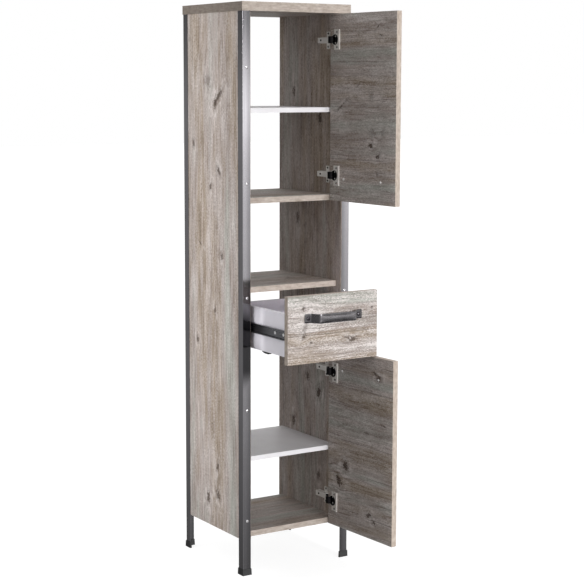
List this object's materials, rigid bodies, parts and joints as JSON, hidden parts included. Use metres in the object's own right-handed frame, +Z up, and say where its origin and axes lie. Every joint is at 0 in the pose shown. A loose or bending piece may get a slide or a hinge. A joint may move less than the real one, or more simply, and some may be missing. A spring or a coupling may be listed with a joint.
{
  "type": "tall cabinet",
  "caption": "Tall narrow storage cabinet with an angle-steel corner frame, board sides and shelves, hinged doors above and below an open compartment and a drawer.",
  "frame": {"origin": "on the floor, under the middle of the cabinet as stored with its doors open and its drawer out; 38 mm behind the plane of the front posts", "axes": "+X to the right seen from the front, +Y to the back, +Z up"},
  "size_m": [0.4053, 0.6829, 1.8],
  "materials": {
    "pine_board": "satin",
    "white_board": "satin",
    "drawer_board": "satin",
    "beech_dowel": "matte",
    "post_steel": "gloss",
    "post_screw_steel": "gloss",
    "black_plastic": "matte",
    "nickel_steel": "satin",
    "neck_steel": "gloss",
    "screw_steel": "satin",
    "slide_steel": "satin",
    "cage_steel": "satin",
    "handle_steel": "satin",
    "bolt_steel": "gloss"
  },
  "bodies": {
    "carcass": {"bottom_panel": "pine_board", "cam_bolts": "nickel_steel", "cam_discs": "nickel_steel", "carcass_dowels": "beech_dowel", "corner_post_front_left": "post_steel", "corner_post_front_right": "post_steel", "corner_post_rear_left": "post_steel", "corner_post_rear_right": "post_steel", "foot_cap_front_left": "black_plastic", "foot_cap_front_right": "black_plastic", "foot_cap_rear_left": "black_plastic", "foot_cap_rear_right": "black_plastic", "hardware_screws": "screw_steel", "lower_door_hinge_arms": "nickel_steel", "lower_door_hinge_necks": "neck_steel", "lower_door_hinge_plates": "nickel_steel", "lower_loose_shelf": "white_board", "middle_fixed_shelf": "pine_board", "post_screws": "post_screw_steel", "shelf_pins": "nickel_steel", "side_panel_left": "pine_board", "side_panel_right": "pine_board", "slide_outer_left": "slide_steel", "slide_outer_right": "slide_steel", "top_panel": "pine_board", "upper_door_hinge_arms": "nickel_steel", "upper_door_hinge_necks": "neck_steel", "upper_door_hinge_plates": "nickel_steel", "upper_fixed_shelf": "pine_board", "upper_loose_shelf": "white_board"},
    "upper_door": {"upper_door": "pine_board", "upper_door_cup_screws": "screw_steel", "upper_door_handle": "handle_steel", "upper_door_handle_bolts": "bolt_steel", "upper_door_hinge_cup_bottom": "nickel_steel", "upper_door_hinge_cup_top": "nickel_steel", "upper_door_hinge_pins": "nickel_steel"},
    "lower_door": {"lower_door": "pine_board", "lower_door_cup_screws": "screw_steel", "lower_door_handle": "handle_steel", "lower_door_handle_bolts": "bolt_steel", "lower_door_hinge_cup_bottom": "nickel_steel", "lower_door_hinge_cup_top": "nickel_steel", "lower_door_hinge_pins": "nickel_steel"},
    "drawer": {"drawer_back": "drawer_board", "drawer_bottom": "drawer_board", "drawer_clips": "black_plastic", "drawer_dowels": "beech_dowel", "drawer_front": "pine_board", "drawer_handle": "handle_steel", "drawer_handle_bolts": "bolt_steel", "drawer_side_left": "drawer_board", "drawer_side_right": "drawer_board", "drawer_slide_screws": "screw_steel", "slide_inner_left": "slide_steel", "slide_inner_right": "slide_steel"},
    "ball_cage_left": {"slide_ball_cage_left": "cage_steel"},
    "ball_cage_right": {"slide_ball_cage_right": "cage_steel"}
  },
  "joints": [
    {"name": "upper_door_hinge", "type": "hinge", "parent": "carcass", "child": "upper_door", "pos_m": [0.1505, -0.0265, 1.4755], "axis": [0, 0, 1], "range_deg": [-93.3, 11.7]},
    {"name": "lower_door_hinge", "type": "hinge", "parent": "carcass", "child": "lower_door", "pos_m": [0.1505, -0.0265, 0.4095], "axis": [0, 0, 1], "range_deg": [-93.3, 11.7]},
    {"name": "drawer_slide", "type": "slide", "parent": "carcass", "child": "drawer", "axis": [0, -1, 0], "range_m": [-0.21, 0.015]},
    {"name": "ball_cage_left_slide", "type": "slide", "parent": "carcass", "child": "ball_cage_left", "axis": [0, -1, 0], "range_m": [-0.105, 0.0075]},
    {"name": "ball_cage_right_slide", "type": "slide", "parent": "carcass", "child": "ball_cage_right", "axis": [0, -1, 0], "range_m": [-0.105, 0.0075]}
  ],
  "couplings": [
    {"joint": "ball_cage_left_slide", "follows": "drawer_slide", "ratio": 0.5},
    {"joint": "ball_cage_right_slide", "follows": "drawer_slide", "ratio": 0.5}
  ]
}
